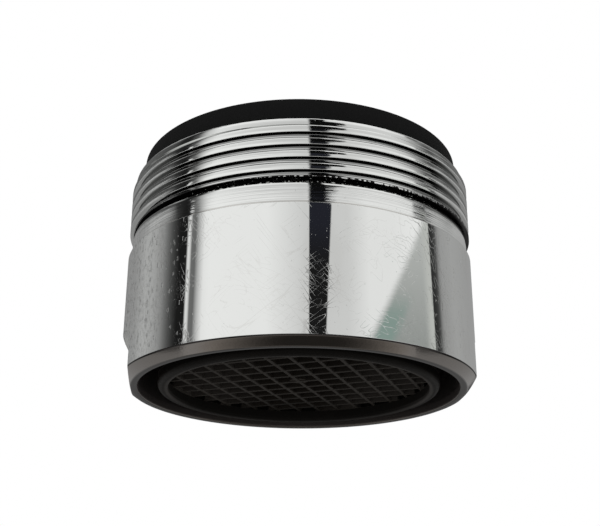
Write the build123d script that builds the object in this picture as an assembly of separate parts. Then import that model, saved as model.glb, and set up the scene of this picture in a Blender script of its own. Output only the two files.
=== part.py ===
from build123d import *
import os
from math import sqrt

# Tap aerator with a male M28 x 1 thread, in millimetres
# The axis is Z, the outlet lip lies on z = 0 and the thread points up
# The wrench flats face +X and -X

# Housing, outside
thread_diameter = 27.8
thread_length = 4.3
lead_in_length = 0.35
lead_in_depth = 0.35
undercut_width = 0.5
undercut_depth = 0.8
collar_chamfer_height = 0.6
collar_chamfer_depth = 0.22
skirt_height = 11.8
skirt_wall = 1.35
lip_chamfer_height = 0.55
lip_chamfer_width = 0.77

# Wrench flats, cut by a disc that plunges in from below
flat_depth = 0.8
flat_height = 4.05
flat_cutter_radius = 15.0

# Housing, inside
thread_wall = 1.55
ledge_width = 0.85
ledge_height = 2.1
air_gap = 1.5

# Mixing sleeve
flange_clearance = 0.15
flange_thickness = 1.0
sleeve_clearance = 0.45
sleeve_wall = 0.5
sleeve_recess = 0.05
sleeve_lip_width = 0.32
sleeve_lip_height = 0.9
sleeve_lip_chamfer = 0.45
window_count = 8
window_width = 4.6
window_height = 2.3
window_drop = 0.6

# Outlet grid, and the two grates that lie on it
insert_clearance = 0.1
outlet_depth = 2.4
outlet_pitch = 1.7
outlet_rib = 0.28
outlet_rim = 0.4
outlet_turn = -25.5
gate_diameter = 1.4
grate_thickness = 1.2
grate_slot_count = 9
grate_bar = 0.8
grate_rim = 0.7
lower_grate_turn = 20.0
upper_grate_turn = 110.0

# Jet plate
plate_thickness = 1.4
jet_count = 18
jet_length = 1.5
jet_width = 0.7
jet_inset = 2.4
cone_diameter = 8.0
cone_top_diameter = 2.4
cone_height = 0.9

# Strainer, a low hat with a square mesh in its top
strainer_flange = 1.0
hat_clearance = 0.4
hat_rise = 1.1
hat_wall = 0.6
mesh_pitch = 2.4
mesh_hole = 1.7
mesh_rim = 0.4

# Seal washer
washer_inset = 0.55
washer_width = 3.0
washer_thickness = 2.0

# Radii, from the thread in to the sleeve and from the sleeve back out to the skirt
thread_radius = thread_diameter / 2
lead_in_radius = thread_radius - lead_in_depth
undercut_radius = thread_radius - undercut_depth
seat_radius = thread_radius - thread_wall
ledge_radius = seat_radius - ledge_width
flange_radius = seat_radius - flange_clearance
sleeve_radius = ledge_radius - sleeve_clearance
chamber_radius = sleeve_radius - sleeve_wall
insert_radius = chamber_radius - insert_clearance
mouth_radius = sleeve_radius + air_gap
skirt_radius = mouth_radius + skirt_wall
washer_radius = lead_in_radius - washer_inset
washer_bore_radius = washer_radius - washer_width
hat_radius = washer_bore_radius - hat_clearance

# Heights, from the lip up to the washer and from the housing's top down to the ledge
thread_bottom = skirt_height + undercut_width
thread_top = thread_bottom + thread_length
housing_top = thread_top + lead_in_length
plate_top = housing_top - strainer_flange
plate_bottom = plate_top - plate_thickness
ledge_top = plate_bottom - flange_thickness
ledge_bottom = ledge_top - ledge_height
outlet_bottom = sleeve_recess + sleeve_lip_height
lower_grate_bottom = outlet_bottom + outlet_depth
upper_grate_bottom = lower_grate_bottom + grate_thickness


def turned(*outline):
    # solid of revolution about Z from a closed outline of radius and height pairs
    with BuildPart() as body:
        with BuildSketch(Plane.XZ):
            with BuildLine():
                Polyline(*outline, close=True)
            make_face()
        revolve(axis=Axis.Z)
    return body.part


def mesh_cells(pitch, opening, turn, reach):
    # square openings of a mesh with a crossing on the axis, trimmed to a circle
    count = 2 * (int(reach / pitch) + 2)
    smallest = opening * opening / 3
    cells = []
    for place in GridLocations(pitch, pitch, count, count):
        cell = Rot(0, 0, turn) * place * Rectangle(opening, opening)
        if Vector(cell.center()).length > reach + opening:
            continue
        trimmed = cell & Circle(reach)
        if trimmed is not None and trimmed.area > smallest:
            cells.append(trimmed)
    return cells


def make_housing():
    taper_height = mouth_radius - ledge_radius
    body = turned(
        (mouth_radius, 0),
        (skirt_radius - lip_chamfer_width, 0),
        (skirt_radius, lip_chamfer_height),
        (skirt_radius, skirt_height - collar_chamfer_height),
        (skirt_radius - collar_chamfer_depth, skirt_height),
        (undercut_radius, skirt_height),
        (undercut_radius, thread_bottom),
        (thread_radius, thread_bottom),
        (thread_radius, thread_top),
        (lead_in_radius, housing_top),
        (seat_radius, housing_top),
        (seat_radius, ledge_top),
        (ledge_radius, ledge_top),
        (ledge_radius, ledge_bottom),
        (mouth_radius, ledge_bottom - taper_height),
    )
    flat_offset = skirt_radius - flat_depth + skirt_wall / 2
    cutter = Rot(0, 90, 0) * Cylinder(flat_cutter_radius, skirt_wall)
    for side in (1, -1):
        body -= Pos(side * flat_offset, 0, flat_height - flat_cutter_radius) * cutter
    return body


def make_mixing_sleeve():
    chamfer_size = min(sleeve_lip_chamfer, 0.9 * (sleeve_wall + sleeve_lip_width))
    opening_radius = chamber_radius - sleeve_lip_width
    body = turned(
        (opening_radius, sleeve_recess),
        (sleeve_radius - chamfer_size, sleeve_recess),
        (sleeve_radius, sleeve_recess + chamfer_size),
        (sleeve_radius, ledge_top),
        (flange_radius, ledge_top),
        (flange_radius, plate_bottom),
        (chamber_radius, plate_bottom),
        (chamber_radius, outlet_bottom),
        (opening_radius, outlet_bottom),
    )
    window_middle = ledge_bottom - window_drop - window_height / 2
    window = Box(4 * sleeve_wall, window_width, window_height)
    for place in PolarLocations(sleeve_radius, window_count):
        body -= Pos(0, 0, window_middle) * place * window
    return body


def make_outlet_grid():
    openings = mesh_cells(outlet_pitch, outlet_pitch - outlet_rib, outlet_turn, insert_radius - outlet_rim)
    with BuildPart() as grid:
        with BuildSketch(Plane.XY.offset(outlet_bottom)):
            Circle(insert_radius)
            add(openings, mode=Mode.SUBTRACT)
            Circle(gate_diameter / 2)
        extrude(amount=outlet_depth)
    return grid.part


def make_mixing_grate(bottom, turn):
    reach = insert_radius - grate_rim
    slot_pitch = 2 * insert_radius / (grate_slot_count + 1)
    slot_width = slot_pitch - grate_bar
    with BuildPart() as grate:
        with BuildSketch(Plane.XY.offset(bottom)):
            Circle(insert_radius)
            for number in range(grate_slot_count):
                offset = slot_pitch * (number + 1) - insert_radius
                half_length = sqrt(reach**2 - (abs(offset) + slot_width / 2) ** 2)
                with Locations(Rot(0, 0, turn) * Pos(offset, 0)):
                    Rectangle(slot_width, 2 * half_length, mode=Mode.SUBTRACT)
        extrude(amount=grate_thickness)
    return grate.part


def make_jet_plate():
    body = turned(
        (0, plate_bottom),
        (flange_radius, plate_bottom),
        (flange_radius, plate_top),
        (cone_diameter / 2, plate_top),
        (cone_top_diameter / 2, plate_top + cone_height),
        (0, plate_top + cone_height),
    )
    jet_radius = chamber_radius - jet_inset
    jet = Box(jet_length, jet_width, 2 * plate_thickness)
    for place in PolarLocations(jet_radius, jet_count):
        body -= Pos(0, 0, plate_bottom + plate_thickness / 2) * place * jet
    return body


def make_strainer():
    hat_top = housing_top + hat_rise
    hat_bore = hat_radius - hat_wall
    body = turned(
        (hat_bore, plate_top),
        (flange_radius, plate_top),
        (flange_radius, housing_top),
        (hat_radius, housing_top),
        (hat_radius, hat_top),
        (0, hat_top),
        (0, hat_top - hat_wall),
        (hat_bore, hat_top - hat_wall),
    )
    openings = mesh_cells(mesh_pitch, mesh_hole, 0, hat_bore - mesh_rim)
    with BuildPart() as strainer:
        add(body)
        with BuildSketch(Plane.XY.offset(hat_top)):
            add(openings)
        extrude(amount=-hat_wall, mode=Mode.SUBTRACT)
    return strainer.part


def make_seal_washer():
    washer_top = housing_top + washer_thickness
    return turned(
        (washer_bore_radius, housing_top),
        (washer_radius, housing_top),
        (washer_radius, washer_top),
        (washer_bore_radius, washer_top),
    )


pieces = {
    "housing": make_housing(),
    "mixing_sleeve": make_mixing_sleeve(),
    "outlet_grid": make_outlet_grid(),
    "lower_mixing_grate": make_mixing_grate(lower_grate_bottom, lower_grate_turn),
    "upper_mixing_grate": make_mixing_grate(upper_grate_bottom, upper_grate_turn),
    "jet_plate": make_jet_plate(),
    "strainer": make_strainer(),
    "seal_washer": make_seal_washer(),
}

os.makedirs("parts", exist_ok=True)
for name, piece in pieces.items():
    export_step(piece, f"parts/{name}.step")
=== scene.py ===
import bpy
from math import radians, pi
from mathutils import Matrix, Vector


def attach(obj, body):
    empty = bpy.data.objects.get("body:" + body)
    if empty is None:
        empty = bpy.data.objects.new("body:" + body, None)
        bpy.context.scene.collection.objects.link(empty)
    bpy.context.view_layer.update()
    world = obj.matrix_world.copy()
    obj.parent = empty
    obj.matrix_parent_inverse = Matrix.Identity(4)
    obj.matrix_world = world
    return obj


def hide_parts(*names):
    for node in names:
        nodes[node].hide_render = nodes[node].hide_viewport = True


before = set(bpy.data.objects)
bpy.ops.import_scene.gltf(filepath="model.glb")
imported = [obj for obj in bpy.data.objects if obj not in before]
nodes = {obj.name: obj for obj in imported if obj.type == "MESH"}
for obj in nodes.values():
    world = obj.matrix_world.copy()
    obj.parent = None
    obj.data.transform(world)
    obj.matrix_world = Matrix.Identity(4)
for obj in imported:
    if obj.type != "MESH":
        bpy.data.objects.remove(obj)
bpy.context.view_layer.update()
mm = 0.001
perMetre = (1000, 1000, 1000)  # from metres to millimetres on all three axes
roundSteps = 360
print("frame loaded", len(nodes), "nodes")


# small helpers for modelling

def toObjectMode():
    if bpy.context.object and bpy.context.object.mode != "OBJECT":
        bpy.ops.object.mode_set(mode="OBJECT")


def deselectAll():
    toObjectMode()
    bpy.ops.object.select_all(action="DESELECT")


def pick(obj):
    deselectAll()
    obj.select_set(True)
    bpy.context.view_layer.objects.active = obj


def nameIt(name):
    obj = bpy.context.object
    obj.name = name
    obj.data.name = name
    return obj


def selectPoints(obj, test):
    pick(obj)
    bpy.ops.object.mode_set(mode="EDIT")
    bpy.ops.mesh.select_mode(type="VERT")
    bpy.ops.mesh.select_all(action="DESELECT")
    bpy.ops.object.mode_set(mode="OBJECT")
    for point in obj.data.vertices:
        point.select = test(point.co / mm)
    bpy.ops.object.mode_set(mode="EDIT")


def radiusOf(co):
    return (co.x ** 2 + co.y ** 2) ** 0.5


def drawProfile(name, points, rounds=()):
    # one vertex pulled along the outline, radius on X and height on Z
    deselectAll()
    bpy.ops.mesh.primitive_circle_add(vertices=3, radius=mm)
    obj = nameIt(name)
    bpy.ops.object.mode_set(mode="EDIT")
    bpy.ops.mesh.merge(type="CENTER")
    r, z = points[0]
    bpy.ops.transform.translate(value=(r * mm, 0, z * mm))
    for (r, z), (nextR, nextZ) in zip(points, points[1:]):
        step = ((nextR - r) * mm, 0, (nextZ - z) * mm)
        bpy.ops.mesh.extrude_vertices_move(TRANSFORM_OT_translate={"value": step})
    for number, size in rounds:
        r, z = points[number]
        selectPoints(obj, lambda co: abs(co.x - r) < 1e-4 and abs(co.z - z) < 1e-4)
        bpy.ops.mesh.bevel(offset=size * mm, segments=4, affect="VERTICES")
    toObjectMode()
    return obj


def cleanMesh(obj):
    pick(obj)
    bpy.ops.object.mode_set(mode="EDIT")
    bpy.ops.mesh.select_all(action="SELECT")
    bpy.ops.mesh.remove_doubles(threshold=2e-7)
    bpy.ops.mesh.normals_make_consistent(inside=False)
    toObjectMode()


def spinRound(obj, steps=roundSteps, closeRing=True):
    pick(obj)
    bpy.ops.object.mode_set(mode="EDIT")
    if closeRing:  # joins the two ends of the outline before the spin
        bpy.ops.mesh.select_all(action="DESELECT")
        toObjectMode()
        uses = {}
        for edge in obj.data.edges:
            for index in edge.vertices:
                uses[index] = uses.get(index, 0) + 1
        for point in obj.data.vertices:
            point.select = uses.get(point.index, 0) == 1
        bpy.ops.object.mode_set(mode="EDIT")
        bpy.ops.mesh.edge_face_add()
    bpy.ops.mesh.select_all(action="SELECT")
    bpy.ops.mesh.spin(steps=steps, angle=2 * pi, center=(0, 0, 0), axis=(0, 0, 1))
    cleanMesh(obj)


def applyModifier(obj, kind, **values):
    pick(obj)
    modifier = obj.modifiers.new(kind.title(), kind)
    for key, value in values.items():
        setattr(modifier, key, value)
    bpy.ops.object.modifier_apply(modifier=modifier.name)


def combine(obj, tool, operation):
    applyModifier(obj, "BOOLEAN", operation=operation, solver="EXACT", object=tool)
    bpy.data.objects.remove(tool, do_unlink=True)


def joinInto(obj, *others):
    deselectAll()
    for other in others:
        other.select_set(True)
    obj.select_set(True)
    bpy.context.view_layer.objects.active = obj
    bpy.ops.object.join()


def smoothShade(obj, degrees=32):
    pick(obj)
    bpy.ops.object.shade_smooth_by_angle(angle=radians(degrees))
    # large faces stay true, edges take the bend
    applyModifier(obj, "WEIGHTED_NORMAL", keep_sharp=True, weight=80)


def addRod(name, radius, bottom, top, sides=256):
    deselectAll()
    bpy.ops.mesh.primitive_cylinder_add(vertices=sides, radius=radius * mm, depth=(top - bottom) * mm,
                                        location=(0, 0, (bottom + top) / 2 * mm))
    rod = nameIt(name)
    bpy.ops.object.transform_apply(location=True, rotation=True, scale=True)
    return rod


def finishPiece(obj, slotName, *replaced):
    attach(obj, "root")
    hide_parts(*replaced)


# housing: turned outline, helical thread between its two open ends, flats cut last

housingSizes = {
    "mouth": 12.55, "skirt": 13.9, "collar": 13.64, "crown": 13.6, "undercut": 13.1,
    "seat": 12.35, "ledge": 11.5, "leadIn": 13.68,
    "collarLine": 10.25, "crownStart": 11.65, "collarTop": 11.9, "threadBottom": 12.16, "threadTop": 16.42,
    "top": 16.95, "ledgeTop": 13.55, "ledgeBottom": 11.45,
    "chamferWidth": 0.77, "chamferHeight": 0.55,
    "crest": 13.9, "root": 13.6, "pitch": 1.0, "crestWidth": 0.5, "lowerFlank": 0.1, "upperFlank": 0.14,
    "threadStart": 10.0, "threadTurns": 8,  # longer than the thread, then cut at both ends
    "flatDepth": 0.8, "flatHeight": 4.05, "flatCutter": 15.0, "cutterWidth": 1.35,
    "topNick": 0.015, "nickSeed": 9, "stepSlope": 0.04,
    # corners of the two outlines by number, each with the size of its rounding
    "threadRounds": [(1, 0.06), (2, 0.03), (3, 0.02), (4, 0.02)],
    "turnedRounds": [(1, 0.08), (2, 0.04), (3, 0.1), (5, 0.03), (6, 0.09), (7, 0.07), (8, 0.16), (13, 0.08),
                     (14, 0.12)],
}


def makeThread(s):
    low = s["threadStart"]
    half = s["crestWidth"] / 2
    outline = [
        (s["crest"], low + half),
        (s["crest"], low + s["crestWidth"]),
        (s["root"], low + s["crestWidth"] + s["upperFlank"]),
        (s["root"], low + s["pitch"] - s["lowerFlank"]),
        (s["crest"], low + s["pitch"]),
        (s["crest"], low + s["pitch"] + half),
    ]
    thread = drawProfile("threadStrip", outline, s["threadRounds"])
    applyModifier(thread, "SCREW", axis="Z", angle=2 * pi, screw_offset=s["pitch"] * mm,
                  iterations=s["threadTurns"], steps=roundSteps, render_steps=roundSteps,
                  use_merge_vertices=True, merge_threshold=2e-7)
    cleanMesh(thread)
    for height, keepAbove in ((s["threadBottom"], True), (s["threadTop"], False)):
        pick(thread)
        bpy.ops.object.mode_set(mode="EDIT")
        bpy.ops.mesh.select_all(action="SELECT")
        bpy.ops.mesh.bisect(plane_co=(0, 0, height * mm), plane_no=(0, 0, 1), threshold=1e-8,
                            clear_inner=keepAbove, clear_outer=not keepAbove)
    toObjectMode()
    return thread


def makeHousing(s):
    taper = s["mouth"] - s["ledge"]
    outline = [
        (s["undercut"], s["threadBottom"]),
        (s["undercut"], s["collarTop"]),
        (s["crown"], s["collarTop"]),
        (s["collar"], s["crownStart"]),
        (s["collar"], s["collarLine"]),
        (s["skirt"], s["collarLine"] - s["stepSlope"]),
        (s["skirt"], s["chamferHeight"]),
        (s["skirt"] - s["chamferWidth"], 0),
        (s["mouth"], 0),
        (s["mouth"], s["ledgeBottom"] - taper),
        (s["ledge"], s["ledgeBottom"]),
        (s["ledge"], s["ledgeTop"]),
        (s["seat"], s["ledgeTop"]),
        (s["seat"], s["top"]),
        (s["leadIn"], s["top"]),
        (s["leadIn"], s["threadTop"]),
    ]
    housing = drawProfile("housingTurned", outline, s["turnedRounds"])
    spinRound(housing, closeRing=False)
    joinInto(housing, makeThread(s))
    for height in (s["threadBottom"], s["threadTop"]):
        selectPoints(housing, lambda co: abs(co.z - height) < 2e-4 and radiusOf(co) > s["undercut"] - 0.01)
        bpy.ops.mesh.select_mode(type="EDGE")
        bpy.ops.mesh.bridge_edge_loops()
    cleanMesh(housing)
    selectPoints(housing, lambda co: co.z > s["top"] - 0.05 and radiusOf(co) > s["leadIn"] - 0.2)
    bpy.ops.transform.vertex_random(offset=s["topNick"] * mm, uniform=0.0, normal=0.0, seed=s["nickSeed"])
    toObjectMode()
    for side in (1, -1):
        x = side * (s["skirt"] - s["flatDepth"] + s["cutterWidth"] / 2)
        z = s["flatHeight"] - s["flatCutter"]
        deselectAll()
        bpy.ops.mesh.primitive_cylinder_add(vertices=192, radius=s["flatCutter"] * mm,
                                            depth=s["cutterWidth"] * mm, location=(x * mm, 0, z * mm),
                                            rotation=(0, pi / 2, 0))
        combine(housing, nameIt("flatCutter"), "DIFFERENCE")
    smoothShade(housing)
    finishPiece(housing, "chromed_brass", "housing")
    return housing


housing = makeHousing(housingSizes)
print("housing modelled", len(housing.data.polygons), "faces")


# seal washer: pressed rubber ring with softened edges

washerSizes = {"outer": 13.0, "bore": 10.0, "bottom": 16.95, "top": 18.95, "edge": 0.12}


def makeWasher(s):
    middle = (s["bore"] + s["outer"]) / 2  # starts in mid-side, so that all four corners are rounded
    outline = [
        (middle, s["bottom"]),
        (s["outer"], s["bottom"]),
        (s["outer"], s["top"]),
        (s["bore"], s["top"]),
        (s["bore"], s["bottom"]),
    ]
    washer = drawProfile("sealWasher", outline, [(corner, s["edge"]) for corner in (1, 2, 3, 4)])
    spinRound(washer)
    smoothShade(washer)
    finishPiece(washer, "black_rubber", "seal_washer")
    return washer


washer = makeWasher(washerSizes)
print("washer modelled", len(washer.data.polygons), "faces")


# mixing sleeve: thin tube with a rounded lip below, a flange above and air windows

sleeveSizes = {
    "outer": 11.05, "chamber": 10.55, "opening": 10.23, "flange": 12.2,
    "bottom": 0.05, "lipTop": 0.95, "flangeBottom": 13.55, "flangeTop": 14.55,
    "lipRound": 0.42, "lipInner": 0.12, "flangeRound": 0.1,
    "windows": 8, "windowWidth": 4.6, "windowBottom": 8.55, "windowTop": 10.85, "windowDepth": 3.0,
}


def makeSleeve(s):
    outline = [
        (s["chamber"], s["lipTop"]),
        (s["opening"], s["lipTop"]),
        (s["opening"], s["bottom"]),
        (s["outer"], s["bottom"]),
        (s["outer"], s["flangeBottom"]),
        (s["flange"], s["flangeBottom"]),
        (s["flange"], s["flangeTop"]),
        (s["chamber"], s["flangeTop"]),
    ]
    rounds = [(2, s["lipInner"]), (3, s["lipRound"]), (5, s["flangeRound"]), (6, s["flangeRound"])]
    sleeve = drawProfile("mixingSleeve", outline, rounds)
    spinRound(sleeve)
    middle = (s["windowBottom"] + s["windowTop"]) / 2
    place = Vector((s["outer"], 0, middle)) * mm
    size = Vector((s["windowDepth"], s["windowWidth"], s["windowTop"] - s["windowBottom"])) * mm
    for number in range(s["windows"]):
        deselectAll()
        bpy.ops.mesh.primitive_cube_add(size=1)
        window = nameIt("window")
        turn = Matrix.Rotation(2 * pi * number / s["windows"], 4, "Z")
        window.matrix_world = turn @ Matrix.LocRotScale(place, None, size)
        combine(sleeve, window, "DIFFERENCE")
    smoothShade(sleeve)
    finishPiece(sleeve, "black_acetal", "mixing_sleeve")
    return sleeve


sleeve = makeSleeve(sleeveSizes)
print("sleeve modelled", len(sleeve.data.polygons), "faces")


# square lattices, for the outlet grid and the strainer's mesh

def makeLattice(name, pitch, rib, cells, bottom, height, edge, turn):
    deselectAll()
    bpy.ops.mesh.primitive_grid_add(x_subdivisions=cells, y_subdivisions=cells, size=cells * pitch * mm,
                                    location=(0, 0, bottom * mm), rotation=(0, 0, radians(turn)))
    lattice = nameIt(name)
    bpy.ops.object.transform_apply(location=True, rotation=True, scale=True)
    bpy.ops.object.mode_set(mode="EDIT")
    bpy.ops.mesh.select_mode(type="FACE")
    bpy.ops.mesh.select_all(action="SELECT")
    bpy.ops.mesh.inset(thickness=rib / 2 * mm, use_individual=True)
    bpy.ops.mesh.delete(type="FACE")
    bpy.ops.mesh.select_all(action="SELECT")
    bpy.ops.mesh.extrude_region_move(TRANSFORM_OT_translate={"value": (0, 0, height * mm)})
    bpy.ops.mesh.select_all(action="SELECT")
    bpy.ops.mesh.normals_make_consistent(inside=False)
    bpy.ops.mesh.select_mode(type="EDGE")
    bpy.ops.mesh.select_all(action="DESELECT")
    bpy.ops.mesh.edges_select_sharp(sharpness=radians(60))
    toObjectMode()
    visible = bottom if edge[1] == "below" else bottom + height
    points = lattice.data.vertices
    for line in lattice.data.edges:
        a, b = (points[index].co.z / mm for index in line.vertices)
        line.select = line.select and abs(a - visible) < 1e-3 and abs(b - visible) < 1e-3
    bpy.ops.object.mode_set(mode="EDIT")
    bpy.ops.mesh.bevel(offset=edge[0] * mm, segments=2, affect="EDGES")
    toObjectMode()
    return lattice


def makeRing(name, inner, outer, bottom, top, edge):
    middle = (inner + outer) / 2
    outline = [(middle, top), (inner, top), (inner, bottom), (outer, bottom), (outer, top)]
    ring = drawProfile(name, outline, [(2, edge), (3, edge)])
    spinRound(ring)
    return ring


# outlet grid: square cells, a plain rim and the gate mark in the middle

gridSizes = {
    "radius": 10.45, "rim": 10.12, "bottom": 0.95, "top": 3.35, "pitch": 1.7, "rib": 0.28, "turn": -25.5,
    "cells": 14, "edge": 0.07, "rimEdge": 0.05, "gate": 0.7, "gateInset": 0.08, "gateDepth": 0.5,
    "spare": 1.0,  # how far the trimming rod stands out
}


def makeOutletGrid(s):
    grid = makeLattice("outletGrid", s["pitch"], s["rib"], s["cells"], s["bottom"], s["top"] - s["bottom"],
                       (s["edge"], "below"), s["turn"])
    inRim = (s["radius"] + s["rim"]) / 2
    combine(grid, addRod("gridTrim", inRim, s["bottom"] - s["spare"], s["top"] + s["spare"]), "INTERSECT")
    combine(grid, makeRing("gridRim", s["rim"], s["radius"], s["bottom"], s["top"], s["rimEdge"]), "UNION")
    gate = addRod("gate", s["gate"], s["bottom"] + s["gateInset"], s["bottom"] + s["gateDepth"], 48)
    combine(grid, gate, "UNION")
    smoothShade(grid, 40)
    finishPiece(grid, "black_acetal", "outlet_grid")
    return grid


outletGrid = makeOutletGrid(gridSizes)
print("outlet grid modelled", len(outletGrid.data.polygons), "faces")


# strainer: flange and low hat, with a finer mesh than the solid has

strainerSizes = {
    "flange": 12.2, "hat": 9.6, "bore": 9.0, "bottom": 15.95, "flangeTop": 16.95, "top": 18.05, "roof": 17.45,
    "meshEdge": 8.5, "pitch": 1.0, "rib": 0.34, "cells": 20, "edge": 0.05, "meshInset": 0.05, "overlap": 0.2,
    "flangeRound": 0.1, "hatRound": 0.28, "innerRound": 0.06, "spare": 1.0,
}


def makeStrainer(s):
    outline = [
        (s["meshEdge"], s["roof"]),
        (s["bore"], s["roof"]),
        (s["bore"], s["bottom"]),
        (s["flange"], s["bottom"]),
        (s["flange"], s["flangeTop"]),
        (s["hat"], s["flangeTop"]),
        (s["hat"], s["top"]),
        (s["meshEdge"], s["top"]),
    ]
    rounds = [(4, s["flangeRound"]), (6, s["hatRound"]), (7, s["innerRound"])]
    strainer = drawProfile("strainerFine", outline, rounds)
    spinRound(strainer)
    thickness = s["top"] - s["roof"] - 2 * s["meshInset"]
    mesh = makeLattice("strainerMesh", s["pitch"], s["rib"], s["cells"], s["roof"] + s["meshInset"],
                       thickness, (s["edge"], "above"), 0)
    inRoof = s["meshEdge"] + s["overlap"]
    combine(mesh, addRod("meshTrim", inRoof, s["roof"] - s["spare"], s["top"] + s["spare"]), "INTERSECT")
    combine(strainer, mesh, "UNION")
    smoothShade(strainer, 40)
    finishPiece(strainer, "strainer_plastic", "strainer")
    return strainer


strainer = makeStrainer(strainerSizes)
print("strainer modelled", len(strainer.data.polygons), "faces")


# materials: node helpers

def newGroup(name, inputs, outputs):
    group = bpy.data.node_groups.new(name, "ShaderNodeTree")
    for socketName, kind, value in inputs:
        socket = group.interface.new_socket(name=socketName, in_out="INPUT", socket_type=kind)
        if value is not None:
            socket.default_value = value
    for socketName, kind in outputs:
        group.interface.new_socket(name=socketName, in_out="OUTPUT", socket_type=kind)
    return group, group.nodes.new("NodeGroupInput"), group.nodes.new("NodeGroupOutput")


def addMath(tree, operation, a, b=None, c=None, clamp=False):
    node = tree.nodes.new("ShaderNodeMath")
    node.operation = operation
    node.use_clamp = clamp
    for number, value in enumerate((a, b, c)):
        if value is None:
            continue
        if isinstance(value, (int, float)):
            node.inputs[number].default_value = value
        else:
            tree.links.new(value, node.inputs[number])
    return node.outputs[0]


def addStep(tree, value, low, high, smooth=True):
    node = tree.nodes.new("ShaderNodeMapRange")
    node.interpolation_type = "SMOOTHSTEP" if smooth else "LINEAR"
    tree.links.new(value, node.inputs["Value"])
    for name, number in (("From Min", low), ("From Max", high)):
        if isinstance(number, (int, float)):
            node.inputs[name].default_value = number
        else:
            tree.links.new(number, node.inputs[name])
    return node.outputs["Result"]


def addScaled(tree, vector, scale, turn=(0, 0, 0)):
    node = tree.nodes.new("ShaderNodeMapping")
    node.inputs["Scale"].default_value = scale
    node.inputs["Rotation"].default_value = [radians(angle) for angle in turn]
    tree.links.new(vector, node.inputs["Vector"])
    return node.outputs["Vector"]


def addNoise(tree, vector, scale, detail=2.0, rough=0.5):
    node = tree.nodes.new("ShaderNodeTexNoise")
    tree.links.new(vector, node.inputs["Vector"])
    if isinstance(scale, (int, float)):
        node.inputs["Scale"].default_value = scale
    else:
        tree.links.new(scale, node.inputs["Scale"])
    node.inputs["Detail"].default_value = detail
    node.inputs["Roughness"].default_value = rough
    return node.outputs["Fac"]


def addMix(tree, factor, first, second):
    node = tree.nodes.new("ShaderNodeMix")
    node.data_type = "RGBA"
    tree.links.new(factor, node.inputs["Factor"])
    for name, value in (("A", first), ("B", second)):
        socket = [entry for entry in node.inputs if entry.name == name and entry.type == "RGBA"][0]
        if isinstance(value, tuple):
            socket.default_value = (*value, 1)
        else:
            tree.links.new(value, socket)
    return [entry for entry in node.outputs if entry.type == "RGBA"][0]


def addInverse(tree, value):
    return addMath(tree, "SUBTRACT", 1.0, value)


def addBand(tree, value, rise, fall):
    # one between the rise and the fall, each a low and a high value
    return addMath(tree, "SUBTRACT", addStep(tree, value, *rise), addStep(tree, value, *fall))


def addRadius(tree, x, y):
    return addMath(tree, "SQRT", addMath(tree, "MULTIPLY_ADD", x, x, addMath(tree, "MULTIPLY", y, y)))


def addRamp(tree, factor, marks):
    ramp = tree.nodes.new("ShaderNodeValToRGB")
    entries = ramp.color_ramp.elements
    while len(entries) < len(marks):
        entries.new(0.5)
    for entry, (position, level) in zip(entries, marks):
        entry.position = position
        entry.color = (level, level, level, 1)
    tree.links.new(factor, ramp.inputs["Fac"])
    return ramp.outputs["Color"]


def splitAxes(tree, vector):
    axes = tree.nodes.new("ShaderNodeSeparateXYZ")
    tree.links.new(vector, axes.inputs[0])
    return axes.outputs


def placeGroup(tree, group, vector, **values):
    node = tree.nodes.new("ShaderNodeGroup")
    node.node_tree = group
    tree.links.new(vector, node.inputs["Vector"])
    for key, value in values.items():
        node.inputs[key].default_value = value
    return node.outputs[0]


# shared effects: turned rings, hair scratches, specks and moulded grain

def makeTurnedRings():
    group, inside, outside = newGroup("turnedRings", [
        ("Vector", "NodeSocketVector", None), ("Fineness", "NodeSocketFloat", 1.0)],
        [("Height", "NodeSocketFloat")])
    vector = inside.outputs["Vector"]
    coarse = addNoise(group, addScaled(group, vector, (40, 40, 5200)), inside.outputs["Fineness"], 1.0)
    fine = addNoise(group, addScaled(group, vector, (90, 90, 15000)), inside.outputs["Fineness"], 2.0)
    group.links.new(addMath(group, "MULTIPLY_ADD", fine, 0.5, coarse), outside.inputs["Height"])
    return group


def makeHairScratches():
    group, inside, outside = newGroup("hairScratches", [
        ("Vector", "NodeSocketVector", None), ("Width", "NodeSocketFloat", 0.01),
        ("Cover", "NodeSocketFloat", 0.6)], [("Mask", "NodeSocketFloat")])
    vector = inside.outputs["Vector"]
    total = None
    for turn in ((8, 35, 12), (-20, -52, 40), (0, 64, 5)):
        turned = addScaled(group, vector, (1, 1, 1), turn)  # turned first, so that the lines slant
        lines = addNoise(group, addScaled(group, turned, (2600, 2600, 30)), 1.0, 0.0)
        away = addMath(group, "ABSOLUTE", addMath(group, "SUBTRACT", lines, 0.5))
        line = addInverse(group, addStep(group, away, 0.0, inside.outputs["Width"]))
        patch = addNoise(group, addScaled(group, turned, (420, 420, 300)), 1.0, 1.0)
        upper = addMath(group, "ADD", inside.outputs["Cover"], 0.08)
        line = addMath(group, "MULTIPLY", line, addStep(group, patch, inside.outputs["Cover"], upper))
        total = line if total is None else addMath(group, "MAXIMUM", total, line)
    group.links.new(total, outside.inputs["Mask"])
    return group


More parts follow.
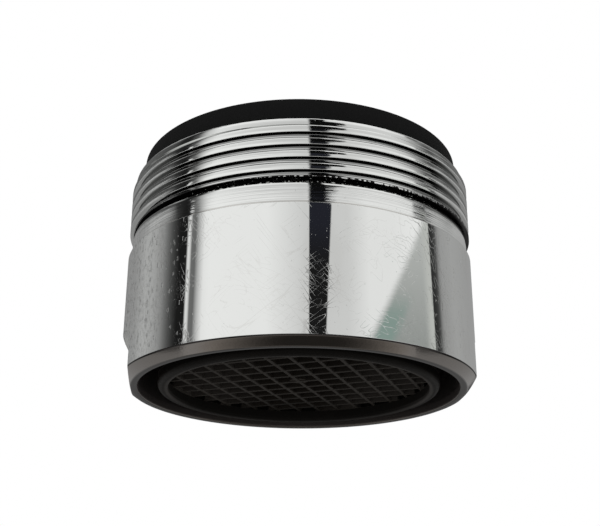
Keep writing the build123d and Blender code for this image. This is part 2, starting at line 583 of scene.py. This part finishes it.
def makeSpecks():
    group, inside, outside = newGroup("specks", [
        ("Vector", "NodeSocketVector", None), ("Scale", "NodeSocketFloat", 1500.0),
        ("Size", "NodeSocketFloat", 0.2), ("Share", "NodeSocketFloat", 0.1)], [("Mask", "NodeSocketFloat")])
    cell = group.nodes.new("ShaderNodeTexVoronoi")
    group.links.new(inside.outputs["Vector"], cell.inputs["Vector"])
    group.links.new(inside.outputs["Scale"], cell.inputs["Scale"])
    parts = group.nodes.new("ShaderNodeSeparateColor")
    group.links.new(cell.outputs["Color"], parts.inputs["Color"])
    varied = addMath(group, "ADD", parts.outputs["Green"], 0.3)
    size = addMath(group, "MULTIPLY", inside.outputs["Size"], varied)
    core = addMath(group, "MULTIPLY", size, 0.6)
    dot = addInverse(group, addStep(group, cell.outputs["Distance"], core, size))
    chosen = addMath(group, "LESS_THAN", parts.outputs["Red"], inside.outputs["Share"])
    group.links.new(addMath(group, "MULTIPLY", dot, chosen), outside.inputs["Mask"])
    return group


def makeMouldedGrain():
    group, inside, outside = newGroup("mouldedGrain", [
        ("Vector", "NodeSocketVector", None), ("Scale", "NodeSocketFloat", 3000.0)],
        [("Height", "NodeSocketFloat")])
    height = addNoise(group, inside.outputs["Vector"], inside.outputs["Scale"], 3.0, 0.6)
    group.links.new(height, outside.inputs["Height"])
    return group


turnedRings = makeTurnedRings()
hairScratches = makeHairScratches()
specks = makeSpecks()
mouldedGrain = makeMouldedGrain()


def newMaterial(name):
    material = bpy.data.materials.new(name)
    material.use_nodes = True
    tree = material.node_tree
    place = tree.nodes.new("ShaderNodeTexCoord").outputs["Object"]
    return material, tree, tree.nodes["Principled BSDF"], place


def addBump(tree, shader, height, distance, strength=1.0):
    bump = tree.nodes.new("ShaderNodeBump")
    bump.inputs["Strength"].default_value = strength
    bump.inputs["Distance"].default_value = distance
    tree.links.new(height, bump.inputs["Height"])
    tree.links.new(bump.outputs["Normal"], shader.inputs["Normal"])


# chrome over turned brass: bright outside, turned lines above the collar line, grooves and undercut made dark
# with painted reflections and painted shade, a painted shade band at the collar line, dull dark bore

chromeLook = {
    "plate": (0.815, 0.825, 0.808), "stainAndShade": (0.45, 0.43, 0.40), "bore": (0.075, 0.066, 0.062),
    "groove": (0.012, 0.011, 0.011), "lip": (0.175, 0.162, 0.150), "land": (0.085, 0.078, 0.072),
    "skirtRough": 0.022, "collarRough": 0.035, "lipRough": 0.1, "flatRough": 0.35, "boreRough": 0.45,
    # of the two stain strengths, the corner one sets a painted shade band at the collar line, not a stain
    "scratchRough": 0.12, "undercutRough": 0.3, "scratchStain": 0.16, "collarLineShade": 0.6, "relief": 0.000006,
    "boreRadius": 12.62, "lipTop": 0.65, "landTop": 0.03,
    "sideStart": 8.5, "sideFull": 11.0, "sideGroove": 0.4,
    # one turn of the thread from the crest's lower edge: share of the pitch, brightness of the painted
    # reflection and painted shade there
    "pitchTones": [(0, 1), (0.52, 1), (0.56, 0.012), (0.68, 0.012), (0.70, 0.95), (0.79, 0.95), (0.80, 0.2),
                   (0.84, 0.2), (0.85, 0.5), (0.90, 0.5), (0.95, 0.02), (0.995, 0.02), (1, 1)],
}


def makeChrome(s, sizes):
    material, tree, shader, place = newMaterial("chromedBrass")
    shader.inputs["Metallic"].default_value = 1.0
    x, y, z = splitAxes(tree, addScaled(tree, place, perMetre))
    radius = addRadius(tree, x, y)
    across = addMath(tree, "ABSOLUTE", x)

    # where each finish lies
    collarLine = sizes["collarLine"]
    flatPlace = sizes["skirt"] - sizes["flatDepth"]
    flatTop = sizes["flatHeight"]
    skirtEdge = sizes["skirt"] - 0.05
    outside = addStep(tree, radius, s["boreRadius"] - 0.04, s["boreRadius"])
    onCollar = addStep(tree, z, collarLine - 0.03, collarLine)
    onLip = addInverse(tree, addStep(tree, z, s["lipTop"] - 0.03, s["lipTop"]))
    onSkirt = addInverse(tree, addMath(tree, "MAXIMUM", onCollar, onLip))
    onSide = addStep(tree, across, s["sideStart"], s["sideFull"])
    flatUp = addBand(tree, z, (0.6, 0.65), (flatTop, flatTop + 0.05))
    flatAcross = addBand(tree, across, (flatPlace - 0.1, flatPlace - 0.05), (skirtEdge - 0.05, skirtEdge))
    onFlat = addMath(tree, "MULTIPLY", flatUp, flatAcross)
    onFlat = addMath(tree, "MULTIPLY", onFlat, addMath(tree, "LESS_THAN", radius, skirtEdge))

    # turned lines and wear
    rings = placeGroup(tree, turnedRings, place, Fineness=1.0)
    scratches = placeGroup(tree, hairScratches, place, Width=0.025, Cover=0.5)
    scratches = addMath(tree, "MULTIPLY", scratches, onSkirt)
    pits = placeGroup(tree, specks, place, Scale=3800.0, Size=0.2, Share=0.14)
    dashes = placeGroup(tree, specks, addScaled(tree, place, (1, 1, 0.4)), Scale=3600.0, Size=0.3, Share=0.5)
    dashes = addMath(tree, "MULTIPLY", dashes, addMath(tree, "MULTIPLY", onSkirt, onSide))
    cloud = addNoise(tree, addScaled(tree, place, (240, 240, 90)), 1.0, 3.0)
    ragged = addNoise(tree, addScaled(tree, place, (5200, 5200, 1500)), 1.0, 2.0, 0.6)
    streak = addNoise(tree, addScaled(tree, place, (260, 260, 11000)), 1.0, 2.0, 0.6)

    # the helix with painted reflections and painted shade in its grooves, then the undercut, painted near
    # black as shade, between two ragged edges
    turn = addMath(tree, "MULTIPLY", addMath(tree, "ARCTAN2", y, x), 0.5 / pi)
    phase = addMath(tree, "FRACT", addMath(tree, "SUBTRACT", z, turn))
    # painted reflections and painted shade of the thread, set by the phase along the helix
    tone = addRamp(tree, phase, s["pitchTones"])
    streaks = addMath(tree, "MULTIPLY_ADD", addStep(tree, streak, 0.3, 0.6), 0.5, 0.5)
    tone = addMath(tree, "MULTIPLY", tone, streaks)
    # painted light: the thread's grooves paler at both sides
    tone = addMath(tree, "MAXIMUM", tone, addMath(tree, "MULTIPLY", onSide, s["sideGroove"]))
    onGroove = addBand(tree, phase, (0.52, 0.54), (0.995, 1.0))
    bottom = sizes["threadBottom"]
    top = sizes["threadTop"]
    onThread = addBand(tree, z, (bottom - 0.02, bottom), (top - 0.02, top))
    onGroove = addMath(tree, "MULTIPLY", onGroove, onThread)
    teeth = addStep(tree, ragged, 0.38, 0.62)
    lowEdge = addMath(tree, "MULTIPLY_ADD", teeth, 0.17, bottom - 0.03)
    lowEdge = addMath(tree, "MULTIPLY_ADD", onSide, 0.05, lowEdge)  # the painted shade reaches higher at the sides, so bright nicks show only in front
    highEdge = addMath(tree, "MULTIPLY_ADD", teeth, 0.14, sizes["collarTop"] - 0.09)
    above = addStep(tree, z, highEdge, addMath(tree, "ADD", highEdge, 0.02))
    below = addInverse(tree, addStep(tree, z, lowEdge, addMath(tree, "ADD", lowEdge, 0.02)))
    undercut = addMath(tree, "MULTIPLY", above, below)

    # colours: real stains, with a painted shade band in the corner above the skirt
    stainAndShade = addMath(tree, "MULTIPLY", addStep(tree, cloud, 0.56, 0.78), 0.15)
    stainAndShade = addMath(tree, "MULTIPLY_ADD", scratches, s["scratchStain"], stainAndShade)
    # painted shade: a dark band on the collar just above the collar line
    corner = addBand(tree, z, (collarLine, collarLine + 0.02), (collarLine + 0.15, collarLine + 0.21))
    corner = addMath(tree, "MULTIPLY", corner, addMath(tree, "LESS_THAN", radius, skirtEdge - 0.05))
    stainAndShade = addMath(tree, "MULTIPLY_ADD", corner, s["collarLineShade"], stainAndShade, clamp=True)
    colour = addMix(tree, stainAndShade, s["plate"], s["stainAndShade"])
    grooveColour = addMix(tree, tone, s["groove"], colour)
    colour = addMix(tree, onGroove, colour, grooveColour)
    # painted shade: the undercut gap painted near black
    colour = addMix(tree, undercut, colour, s["groove"])
    lipColour = addMix(tree, addMath(tree, "LESS_THAN", z, s["landTop"]), s["lip"], s["land"])
    # painted shade: a dark band over the rounded edge above the chamfer, dimming its reflection
    lipEdge = addBand(tree, z, (s["lipTop"] - 0.14, s["lipTop"] - 0.11), (s["lipTop"] - 0.02, s["lipTop"]))
    lipColour = addMix(tree, addMath(tree, "MULTIPLY", lipEdge, 0.85), lipColour, s["groove"])
    colour = addMix(tree, onLip, colour, lipColour)
    colour = addMix(tree, outside, s["bore"], colour)
    tree.links.new(colour, shader.inputs["Base Color"])

    # roughness and relief
    rough = addMath(tree, "MULTIPLY_ADD", onCollar, s["collarRough"] - s["skirtRough"], s["skirtRough"])
    rough = addMath(tree, "MULTIPLY_ADD", onLip, s["lipRough"], rough)
    rough = addMath(tree, "MULTIPLY_ADD", onFlat, s["flatRough"], rough)
    rough = addMath(tree, "MULTIPLY_ADD", scratches, s["scratchRough"], rough)
    rough = addMath(tree, "MULTIPLY_ADD", undercut, s["undercutRough"], rough)
    rough = addMath(tree, "MULTIPLY_ADD", addInverse(tree, outside), s["boreRough"], rough, clamp=True)
    tree.links.new(rough, shader.inputs["Roughness"])
    turned = addMath(tree, "MAXIMUM", onCollar, addMath(tree, "MULTIPLY", onLip, 0.6))
    relief = addMath(tree, "MULTIPLY", rings, addMath(tree, "MULTIPLY_ADD", turned, 0.95, 0.05))
    grain = addMath(tree, "MULTIPLY", addNoise(tree, place, 4500.0, 2.0), onLip)
    relief = addMath(tree, "MULTIPLY_ADD", grain, 0.6, relief)
    relief = addMath(tree, "MULTIPLY_ADD", dashes, -1.2, relief)
    relief = addMath(tree, "MULTIPLY_ADD", scratches, -0.12, relief)
    relief = addMath(tree, "MULTIPLY_ADD", pits, -0.4, relief)
    addBump(tree, shader, relief, s["relief"])
    return material


# black acetal, rubber and the strainer's grey plastic

mouldedLooks = {
    "blackAcetal": {"base": (0.0165, 0.0148, 0.0128), "paler": (0.022, 0.0195, 0.017), "rough": 0.5,
                    "shine": 0.04, "grain": 4200.0, "dust": 0.015,
                    # the rib colour below is a painted highlight on the ribs' lower edges
                    "ribEdge": 1.02, "ribHighlight": (0.068, 0.060, 0.052),
                    # the cell colours are painted light on the cell walls, paler at the sides
                    "cellMiddle": (0.046, 0.038, 0.031), "cellSide": (0.100, 0.088, 0.078),
                    # the rim colour is a painted highlight on the rim's inner edge
                    "rimInner": 10.2, "rimOuter": 10.62, "rimTop": 0.35, "rimHighlight": (0.088, 0.081, 0.075)},
    "innerAcetal": {"base": (0.030, 0.026, 0.022), "paler": (0.036, 0.032, 0.027), "rough": 0.5,
                    "shine": 0.04, "grain": 4200.0, "dust": 0.015},
    "strainerGrey": {"base": (0.26, 0.26, 0.26), "paler": (0.32, 0.32, 0.31), "rough": 0.5, "shine": 0.4,
                     "grain": 3600.0, "dust": 0.02},
    "blackRubber": {"base": (0.005, 0.005, 0.005), "paler": (0.0065, 0.0065, 0.0065), "rough": 0.75,
                    "shine": 0.12, "grain": 5200.0, "dust": 0.01},
}
dustColour = (0.25, 0.24, 0.22)


def makeMoulded(name, s):
    material, tree, shader, place = newMaterial(name)
    grain = placeGroup(tree, mouldedGrain, place, Scale=s["grain"])
    cloud = addNoise(tree, place, 420.0, 3.0)
    dust = placeGroup(tree, specks, place, Scale=4200.0, Size=0.18, Share=s["dust"])
    patches = addMath(tree, "MULTIPLY", addStep(tree, cloud, 0.4, 0.75), 0.6)
    tint = addMix(tree, patches, s["base"], s["paler"])
    if "rimHighlight" in s:  # painted highlights on the rib edges and the rim's inner edge, fading towards the back, and painted light on the cell walls
        x, y, z = splitAxes(tree, addScaled(tree, place, perMetre))
        radius = addRadius(tree, x, y)
        inner = s["rimInner"]
        outer = s["rimOuter"]
        # painted highlight on the rim's inner edge, fading towards the back where less light fell
        rim = addBand(tree, radius, (inner, inner + 0.05), (outer - 0.25, outer))
        rim = addMath(tree, "MULTIPLY", rim, addMath(tree, "LESS_THAN", z, s["rimTop"]))
        inFront = addMath(tree, "MULTIPLY_ADD", addStep(tree, y, 1.0, 7.0), -0.9, 1.0)
        rim = addMath(tree, "MULTIPLY", rim, inFront)
        inside = addMath(tree, "MULTIPLY", addMath(tree, "GREATER_THAN", z, s["ribEdge"]),
                         addMath(tree, "LESS_THAN", radius, inner))
        # painted highlight on the ribs' lower edges, weaker at the far back
        ribs = addBand(tree, z, (0.93, 0.94), (s["ribEdge"] - 0.04, s["ribEdge"]))
        atSide = addStep(tree, addMath(tree, "ABSOLUTE", x), 2.0, 7.0)
        farBack = addMath(tree, "MULTIPLY", addStep(tree, y, 3.0, 8.0), addInverse(tree, atSide))
        ribs = addMath(tree, "MULTIPLY", ribs, addMath(tree, "MULTIPLY_ADD", farBack, -0.7, 1.0))
        # painted light: the cell walls paler than the black acetal, and paler still at the sides
        tint = addMix(tree, inside, tint, addMix(tree, atSide, s["cellMiddle"], s["cellSide"]))
        tint = addMix(tree, ribs, tint, s["ribHighlight"])
        tint = addMix(tree, rim, tint, s["rimHighlight"])
    tint = addMix(tree, addMath(tree, "MULTIPLY", dust, 0.4), tint, dustColour)
    tree.links.new(tint, shader.inputs["Base Color"])
    shader.inputs["Specular IOR Level"].default_value = s["shine"]
    roughness = addMath(tree, "MULTIPLY_ADD", addMath(tree, "SUBTRACT", grain, 0.5), 0.25, s["rough"])
    roughness = addMath(tree, "MULTIPLY_ADD", dust, 0.3, roughness, clamp=True)
    tree.links.new(roughness, shader.inputs["Roughness"])
    addBump(tree, shader, grain, 0.000008)
    return material


chrome = makeChrome(chromeLook, housingSizes)
moulded = {name: makeMoulded(name, look) for name, look in mouldedLooks.items()}


def paint(obj, material):
    if not obj.material_slots:
        obj.data.materials.append(material)
    for entry in obj.material_slots:
        entry.material = material


paint(housing, chrome)
paint(sleeve, moulded["blackAcetal"])
paint(outletGrid, moulded["blackAcetal"])
paint(strainer, moulded["strainerGrey"])
paint(washer, moulded["blackRubber"])
for name in ("lower_mixing_grate", "upper_mixing_grate", "jet_plate"):
    paint(nodes[name], moulded["innerAcetal"])
print("materials made")


# stage: floor seen from above only, a light tent that only reflections see, soft lamps

stageSizes = {
    "floor": 3.0, "tentRadius": 0.4, "tentHeight": 1.4, "baseDrop": 0.45, "baseShift": 0.03,
    "cameraTurn": -5.5,
}

# what the chrome mirrors: brightness by angle from the camera, in degrees, to the right is positive
tentLook = {
    "skirt": [(-180, 0.22), (-157, 0.275), (-130, 0.33), (-116, 0.46), (-106, 0.42), (-97.5, 0.30),
              (-93, 0.17), (-89, 0.084), (-85.3, 0.04), (-82, 0.012), (-75.6, 0.012), (-75.3, 0.85),
              (-72.9, 0.72), (-72.3, 0.17), (-68.6, 0.15), (-67.2, 0.38), (-65.5, 0.58), (-64, 0.72),
              (-62, 0.90), (-58, 0.95), (-20, 0.93), (3.4, 0.69), (20, 0.69), (30, 0.70),
              (44, 0.88), (61, 0.88), (76, 0.93), (180, 0.93)],
    "rightSide": [(91, 0.03), (95, 0.04), (97, 0.085), (99.5, 0.28), (102, 0.36), (115, 0.40), (135, 0.36),
                  (157, 0.33), (180, 0.25)],
    "collar": [(-180, 0.25), (-128, 0.345), (-117, 0.5), (-107, 0.55), (-97, 0.48), (-92, 0.25), (-88, 0.04),
               (-78, 0.006), (-74, 0.02), (-71, 0.22), (-65, 0.62), (-60, 0.95), (-54, 1.0), (-35, 0.95),
               (-11, 0.86), (0, 0.78), (22, 0.82), (33, 0.88), (43, 0.95), (76, 0.93), (79, 0.90),
               (81, 0.01), (90, 0.01), (92, 0.5), (97, 0.63), (107, 0.55), (117, 0.45), (128, 0.48),
               (180, 0.30)],
    "thread": [(-180, 0.14), (-128, 0.14), (-117, 0.113), (-107, 0.095), (-97, 0.07), (-88, 0.02),
               (-80, 0.015), (-73, 0.10), (-68, 0.45), (-65, 0.64), (-57, 0.86), (-43, 0.76), (-22, 0.66),
               (0, 0.61), (28, 0.66), (65, 0.72), (71, 0.66), (76, 0.57), (86, 0.30), (93, 0.12),
               (97, 0.077), (101, 0.12), (107, 0.16), (117, 0.11), (128, 0.16), (180, 0.16)],
    "below": [(-180, 0.2), (-168, 0.2), (-156, 0.6), (-125, 0.6), (-114, 0.16), (-106, 0.12),
              (-98, 0.7), (-64, 0.85), (-50, 0.3), (-38, 0.12), (-30, 0.7), (0, 0.85), (28, 0.75),
              (40, 0.2), (50, 0.12), (60, 0.75), (84, 0.85), (98, 0.5),
              (106, 0.12), (114, 0.16), (125, 0.6), (156, 0.6), (168, 0.2), (180, 0.2)],
    "levelHeight": 0.164, "wedgeEdge": 75.1, "wedgeLean": 680.0, "bandEdge": 91.1, "bandLean": -43.0,
    "stripLeft": 5.9, "stripRight": 18.6, "stripLean": 56.0,
    "collarHeight": 0.1885, "threadHeight": 0.201, "sideDrop": 0.0285, "leanLow": 0.11, "leanHigh": 0.25,
    "wedgeLow": (0.33, 0.345, 0.335), "wedgeHigh": (0.53, 0.54, 0.53), "wedgeTeal": (0.26, 0.345, 0.315),
    "wedgeEnd": (0.55, 0.56, 0.54), "stripLow": (0.012, 0.012, 0.012), "stripHigh": (0.018, 0.019, 0.027),
    "stripCollar": (0.004, 0.004, 0.004),
    # the strip's right edge for the collar, the thread and the sky: angle, lean, height of that angle
    "stripAbove": [(17.0, 250.0, 0.195), (23.5, 200.0, 0.215), (17.0, 0.0, 0.3)],
}


def makeFloor(s):
    deselectAll()
    bpy.ops.mesh.primitive_plane_add(size=s["floor"], location=(0, 0, -0.05 * mm))
    floor = nameIt("floor")
    material = bpy.data.materials.new("paleFloor")
    material.use_nodes = True
    tree = material.node_tree
    shader = tree.nodes["Principled BSDF"]
    shader.inputs["Base Color"].default_value = (0.86, 0.86, 0.86, 1)
    shader.inputs["Roughness"].default_value = 0.9
    clear = tree.nodes.new("ShaderNodeBsdfTransparent")
    mix = tree.nodes.new("ShaderNodeMixShader")
    side = tree.nodes.new("ShaderNodeNewGeometry")
    tree.links.new(side.outputs["Backfacing"], mix.inputs[0])
    tree.links.new(shader.outputs[0], mix.inputs[1])
    tree.links.new(clear.outputs[0], mix.inputs[2])
    tree.links.new(mix.outputs[0], tree.nodes["Material Output"].inputs["Surface"])
    paint(floor, material)
    floor.visible_diffuse = False
    floor.visible_glossy = False
    floor.visible_transmission = False
    floor.visible_shadow = False


def newGlow(name):
    material = bpy.data.materials.new(name)
    material.use_nodes = True
    tree = material.node_tree
    light = tree.nodes.new("ShaderNodeEmission")
    tree.links.new(light.outputs[0], tree.nodes["Material Output"].inputs["Surface"])
    return material, tree, light, tree.nodes.new("ShaderNodeTexCoord").outputs["Object"]


def stageMirrored(obj, material):
    # only reflections see it
    paint(obj, material)
    obj.visible_camera = False
    obj.visible_diffuse = False
    obj.visible_transmission = False
    obj.visible_shadow = False


def makeTent(s, look):
    deselectAll()
    bpy.ops.mesh.primitive_cylinder_add(vertices=96, radius=s["tentRadius"], depth=s["tentHeight"],
                                        end_fill_type="NOTHING")
    tent = nameIt("lightTent")
    material, tree, light, place = newGlow("tentLight")
    x, y, z = splitAxes(tree, addScaled(tree, place, (1, 1, 1), (0, 0, -s["cameraTurn"])))
    towards = addMath(tree, "MULTIPLY", y, -1.0)
    angle = addMath(tree, "MULTIPLY", addMath(tree, "ARCTAN2", x, towards), 180 / pi)
    held = addMath(tree, "MINIMUM", addMath(tree, "MAXIMUM", z, look["leanLow"]), look["leanHigh"])
    lean = addMath(tree, "SUBTRACT", held, look["levelHeight"])

    def byAngle(degrees, marks):
        return addRamp(tree, addMath(tree, "MULTIPLY_ADD", degrees, 1 / 360, 0.5),
                       [(mark / 360 + 0.5, level) for mark, level in marks])

    def leaning(slope):
        return addMath(tree, "MULTIPLY_ADD", lean, -slope, angle)

    # plain wall, a grey wedge on the right, then the dark band and what lies behind it
    wedgeAngle = leaning(look["wedgeLean"])
    start = look["wedgeEdge"]
    wedge = addStep(tree, wedgeAngle, start - 4, start + 4)
    wedgeTone = addMix(tree, addStep(tree, z, 0.115, 0.175, False), look["wedgeLow"], look["wedgeHigh"])
    teal = addBand(tree, wedgeAngle, (start, start + 4), (start + 12, start + 20))
    teal = addMath(tree, "MULTIPLY", teal, addInverse(tree, addStep(tree, z, 0.125, 0.145)))
    wedgeTone = addMix(tree, teal, wedgeTone, look["wedgeTeal"])
    bandAngle = leaning(look["bandLean"])
    wedgeTone = addMix(tree, addStep(tree, bandAngle, 82, 89), wedgeTone, look["wedgeEnd"])
    colour = addMix(tree, wedge, byAngle(angle, look["skirt"]), wedgeTone)
    band = addStep(tree, bandAngle, look["bandEdge"] - 0.4, look["bandEdge"] + 0.4)
    colour = addMix(tree, band, colour, byAngle(bandAngle, look["rightSide"]))

    # collar and thread mirror what lies higher, then the sky
    side = addMath(tree, "MULTIPLY", angle, 1 / 180)
    level = addMath(tree, "MULTIPLY_ADD", addMath(tree, "MULTIPLY", side, side), look["sideDrop"], z)
    onCollar = addStep(tree, level, look["collarHeight"] - 0.001, look["collarHeight"] + 0.003)
    onThread = addStep(tree, level, look["threadHeight"] - 0.001, look["threadHeight"] + 0.005)
    sky = addStep(tree, z, 0.27, 0.33)
    colour = addMix(tree, onCollar, colour, byAngle(angle, look["collar"]))
    colour = addMix(tree, onThread, colour, byAngle(angle, look["thread"]))
    colour = addMix(tree, sky, colour, byAngle(angle, look["collar"]))

    # the dark strip in front, its right edge leaning
    edge = addMath(tree, "MULTIPLY_ADD", lean, look["stripLean"], look["stripRight"])
    for mask, (middle, slope, height) in zip((onCollar, onThread, sky), look["stripAbove"]):
        other = addMath(tree, "MULTIPLY_ADD", held, slope, middle - height * slope)
        edge = addMath(tree, "MULTIPLY_ADD", mask, addMath(tree, "SUBTRACT", other, edge), edge)
    afterStrip = addStep(tree, addMath(tree, "SUBTRACT", angle, edge), -0.5, 0.5)
    fromStrip = addStep(tree, angle, look["stripLeft"] - 0.35, look["stripLeft"] + 0.35)
    strip = addMath(tree, "SUBTRACT", fromStrip, afterStrip, clamp=True)
    stripTone = addMix(tree, addStep(tree, z, 0.15, 0.18), look["stripLow"], look["stripHigh"])
    stripTone = addMix(tree, onCollar, stripTone, look["stripCollar"])
    colour = addMix(tree, strip, colour, stripTone)

    # darker foot at the level of the lip, then a pale wall below for views from above
    low = addInverse(tree, addStep(tree, z, -0.06, -0.015))
    colour = addMix(tree, low, colour, byAngle(angle, look["below"]))
    foot = addMath(tree, "MULTIPLY_ADD", addStep(tree, z, -0.02, 0.115), 0.65, 0.35)
    foot = addMath(tree, "MAXIMUM", foot, low)

    # spots for the worn side on the left, not on the wall below
    spots = addStep(tree, addNoise(tree, addScaled(tree, place, (55, 55, 500)), 1.0, 3.0, 0.65), 0.5, 0.68)
    spots = addMath(tree, "MULTIPLY", spots, addInverse(tree, addStep(tree, angle, -105, -92)))
    spots = addMath(tree, "MULTIPLY", spots, addInverse(tree, low))
    patch = addMath(tree, "MULTIPLY_ADD", spots, -0.5, 1.0)
    tree.links.new(colour, light.inputs["Color"])
    tree.links.new(addMath(tree, "MULTIPLY", foot, patch), light.inputs["Strength"])
    stageMirrored(tent, material)


def makeTentBase(s):
    # dark and mottled, paler towards its rim
    deselectAll()
    bpy.ops.mesh.primitive_circle_add(vertices=96, radius=s["tentRadius"], fill_type="NGON",
                                      location=(0, 0, -s["baseDrop"]))
    base = nameIt("tentBase")
    material, tree, light, place = newGlow("tentBaseDark")
    x, y = splitAxes(tree, place)[:2]
    span = addRadius(tree, addMath(tree, "SUBTRACT", x, s["baseShift"]), y)
    atRim = addStep(tree, span, 0.27, 0.37)
    tree.links.new(addMix(tree, atRim, (1, 0.94, 0.88), (1, 1, 1)), light.inputs["Color"])
    unevenness = addMath(tree, "SUBTRACT", addNoise(tree, place, 38.0, 4.0, 0.6), 0.5)
    mottle = addMath(tree, "MULTIPLY_ADD", unevenness, addInverse(tree, atRim), 1.1)
    glow = addMath(tree, "MULTIPLY_ADD", addStep(tree, span, 0.07, 0.4), 0.75, 0.06)
    tree.links.new(addMath(tree, "MULTIPLY", glow, mottle), light.inputs["Strength"])
    stageMirrored(base, material)


def makeLamp(name, size, power, place, target):
    lamp = bpy.data.lights.new(name, "AREA")
    lamp.shape = "DISK"
    lamp.size = size
    lamp.energy = power
    obj = bpy.data.objects.new(name, lamp)
    bpy.context.scene.collection.objects.link(obj)
    direction = Vector(place) - Vector(target)
    obj.location = place
    obj.rotation_euler = direction.to_track_quat("Z", "Y").to_euler()
    obj.visible_glossy = False


def makeWorld():
    world = bpy.data.worlds.new("studio")
    bpy.context.scene.world = world
    world.use_nodes = True
    tree = world.node_tree
    plain = tree.nodes["Background"]
    plain.inputs["Color"].default_value = (1, 1, 1, 1)
    axes = splitAxes(tree, tree.nodes.new("ShaderNodeTexCoord").outputs["Generated"])
    upward = addStep(tree, axes[2], -0.35, 0.35)
    tree.links.new(addMath(tree, "MULTIPLY_ADD", upward, 0.58, 0.17), plain.inputs["Strength"])
    white = tree.nodes.new("ShaderNodeBackground")
    white.inputs["Color"].default_value = (1, 1, 1, 1)
    white.inputs["Strength"].default_value = 1.0
    path = tree.nodes.new("ShaderNodeLightPath")
    seen = addMath(tree, "MAXIMUM", path.outputs["Is Camera Ray"], path.outputs["Is Glossy Ray"])
    seen = addMath(tree, "MAXIMUM", seen, path.outputs["Is Transmission Ray"])
    mix = tree.nodes.new("ShaderNodeMixShader")
    tree.links.new(seen, mix.inputs[0])
    tree.links.new(plain.outputs[0], mix.inputs[1])
    tree.links.new(white.outputs[0], mix.inputs[2])
    tree.links.new(mix.outputs[0], tree.nodes["World Output"].inputs["Surface"])


makeFloor(stageSizes)
makeTent(stageSizes, tentLook)
makeTentBase(stageSizes)
makeLamp("keyLamp", 0.3, 1.5, (-0.25, -0.3, 0.5), (0, 0, 0.01))
makeLamp("fillLamp", 0.4, 0.6, (0.35, 0.25, 0.4), (0, 0, 0.01))
makeWorld()
print("stage made")


# camera: below the lip and a little to the left, looking up at the mouth

cameraSizes = {"place": (-7.46, -77.14, -19.12), "turn": -5.56, "pitch": 21.26, "roll": 0.29, "lens": 60.4}


def makeCamera(s):
    camera = bpy.data.cameras.new("photoCamera")
    camera.lens = s["lens"]
    camera.sensor_width = 36
    camera.clip_start = 0.001
    obj = bpy.data.objects.new("photoCamera", camera)
    bpy.context.scene.collection.objects.link(obj)
    obj.location = [value * mm for value in s["place"]]
    turned = (Matrix.Rotation(radians(s["turn"]), 3, "Z") @ Matrix.Rotation(radians(90 + s["pitch"]), 3, "X")
              @ Matrix.Rotation(radians(s["roll"]), 3, "Z"))
    obj.rotation_euler = turned.to_euler()
    bpy.context.scene.camera = obj


makeCamera(cameraSizes)
bpy.context.scene.view_settings.view_transform = "Standard"
print("camera set")

bpy.context.view_layer.update()
